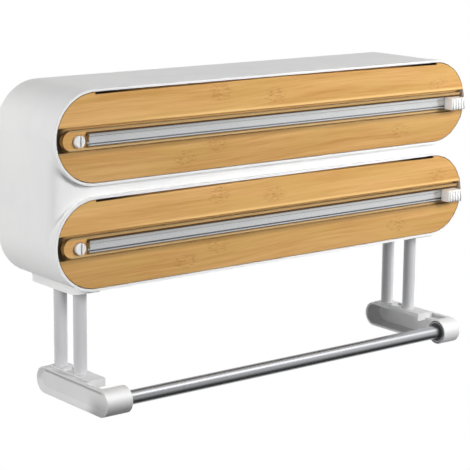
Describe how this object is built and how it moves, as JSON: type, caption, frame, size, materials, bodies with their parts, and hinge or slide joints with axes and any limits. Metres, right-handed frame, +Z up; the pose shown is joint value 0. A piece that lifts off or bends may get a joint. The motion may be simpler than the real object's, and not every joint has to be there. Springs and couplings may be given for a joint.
{
  "type": "wrap dispenser with towel holder",
  "caption": "Wall-hung kitchen wrap dispenser: stacked pull-out cassettes with bamboo fronts and slide cutters in a white housing, over a sprung towel bar.",
  "frame": {"origin": "centre of the back face, on the wall, midway between the two tiers", "axes": "+X along the rolls and the towel bar to the right seen from the front, +Y into the wall, +Z up"},
  "size_m": [0.3898, 0.1015, 0.2266],
  "materials": {
    "white_plastic": "satin white moulded plastic",
    "post_plastic": "smooth pale grey-white plastic",
    "grey_plastic": "dark moulded plastic",
    "bamboo": "lacquered bamboo with fine grain along the length",
    "rail_alloy": "brushed, clear anodised",
    "bar_steel": "polished stainless steel",
    "screw_steel": "bright zinc",
    "magnet": "nickel plated"
  },
  "bodies": {
    "frame": {"housing": "white_plastic", "back_panel": "white_plastic", "back_panel_screws": "screw_steel", "catch_magnets": "magnet", "left_foot": "white_plastic", "right_foot": "white_plastic", "left_front_post": "post_plastic", "left_rear_post": "post_plastic", "right_front_post": "post_plastic", "right_rear_post": "post_plastic", "bracket_screws": "screw_steel", "left_arm": "white_plastic", "right_arm": "white_plastic", "arm_screws": "screw_steel", "left_collar": "grey_plastic", "right_bush": "grey_plastic", "bar_rings": "bar_steel", "pusher_spring": "screw_steel"},
    "bar_pusher": {"bar_pusher": "grey_plastic"},
    "towel_bar": {"towel_bar": "bar_steel", "bar_plugs": "grey_plastic"},
    "upper_cassette": {"upper_front": "bamboo", "upper_tray": "white_plastic", "upper_tray_ends": "white_plastic", "upper_front_screws": "screw_steel", "upper_strip": "bamboo", "upper_rail": "rail_alloy", "upper_button": "white_plastic", "upper_strip_screws": "screw_steel", "upper_strike_plates": "screw_steel"},
    "upper_cutter": {"upper_slider_foot": "grey_plastic", "upper_slider_knob": "white_plastic", "upper_blade": "screw_steel"},
    "lower_cassette": {"lower_front": "bamboo", "lower_tray": "white_plastic", "lower_tray_ends": "white_plastic", "lower_front_screws": "screw_steel", "lower_strip": "bamboo", "lower_rail": "rail_alloy", "lower_button": "white_plastic", "lower_strip_screws": "screw_steel", "lower_strike_plates": "screw_steel"},
    "lower_cutter": {"lower_slider_foot": "grey_plastic", "lower_slider_knob": "white_plastic", "lower_blade": "screw_steel"}
  },
  "joints": [
    {"name": "upper_cassette_slide", "type": "slide", "parent": "frame", "child": "upper_cassette", "axis": [0, -1, 0], "range_m": [0, 0.055]},
    {"name": "lower_cassette_slide", "type": "slide", "parent": "frame", "child": "lower_cassette", "axis": [0, -1, 0], "range_m": [0, 0.055]},
    {"name": "upper_cutter_slide", "type": "slide", "parent": "upper_cassette", "child": "upper_cutter", "axis": [-1, 0, 0], "range_m": [0, 0.337]},
    {"name": "lower_cutter_slide", "type": "slide", "parent": "lower_cassette", "child": "lower_cutter", "axis": [-1, 0, 0], "range_m": [0, 0.337]},
    {"name": "bar_push", "type": "slide", "parent": "frame", "child": "bar_pusher", "axis": [-1, 0, 0], "range_m": [0, 0.0052], "stiffness_N_per_m": 400, "springref_m": -0.006, "deforming": ["pusher_spring"]},
    {"name": "bar_spin", "type": "hinge", "parent": "bar_pusher", "child": "towel_bar", "pos_m": [0, -0.0917, -0.1462], "axis": [1, 0, 0], "continuous": true}
  ]
}
